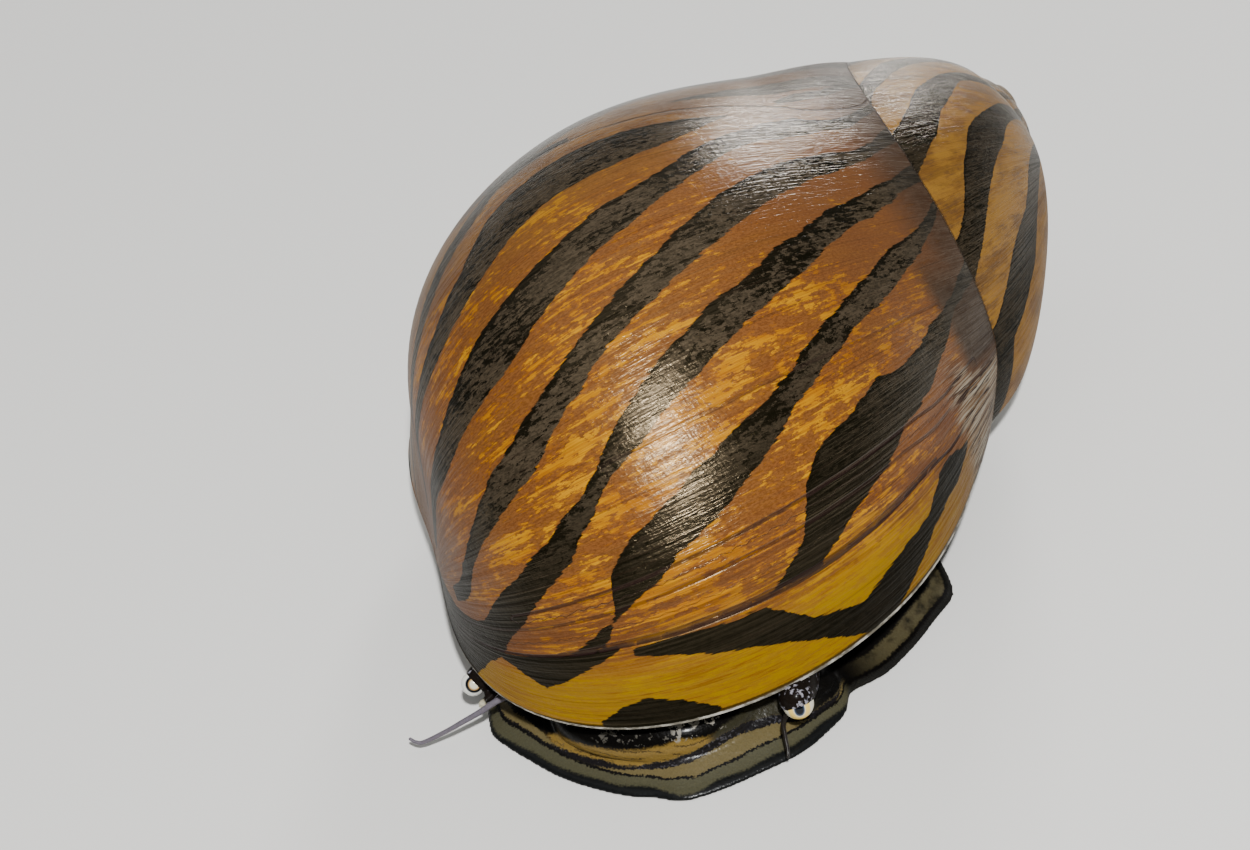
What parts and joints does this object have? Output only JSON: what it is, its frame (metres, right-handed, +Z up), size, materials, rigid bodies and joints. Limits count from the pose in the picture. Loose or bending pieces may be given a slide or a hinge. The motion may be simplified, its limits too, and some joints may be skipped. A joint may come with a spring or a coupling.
{
  "type": "nerite snail figure",
  "caption": "Life-size zebra nerite snail crawling, with a domed striped shell, low spire, broad foot, snout, stalked eyes and tentacles. A still model that rests on its sole.",
  "frame": {"origin": "centre of the model's box on the floor", "axes": "+Z up, the head looks along -Y, and +X is the animal's left, the side the spire leans to"},
  "size_m": [0.021, 0.025, 0.0134],
  "materials": {
    "shell": "polished horny layer, amber with black stripes",
    "mantle": "wet, black",
    "foot": "wet, cream and grey bands",
    "head": "wet, cream, finely wrinkled",
    "eye_stalk": "wet, dark with pale specks",
    "eye": "glossy, blue-black",
    "tentacle": "wet, purple-grey",
    "operculum": "satin, chalky plate"
  },
  "bodies": {
    "root": {"shell": "shell", "mantle": "mantle", "foot": "foot", "head": "head", "eye_stalk_left": "eye_stalk", "eye_stalk_right": "eye_stalk", "eye_left": "eye", "eye_right": "eye", "tentacle_left": "tentacle", "tentacle_right": "tentacle", "operculum": "operculum"}
  },
  "joints": []
}
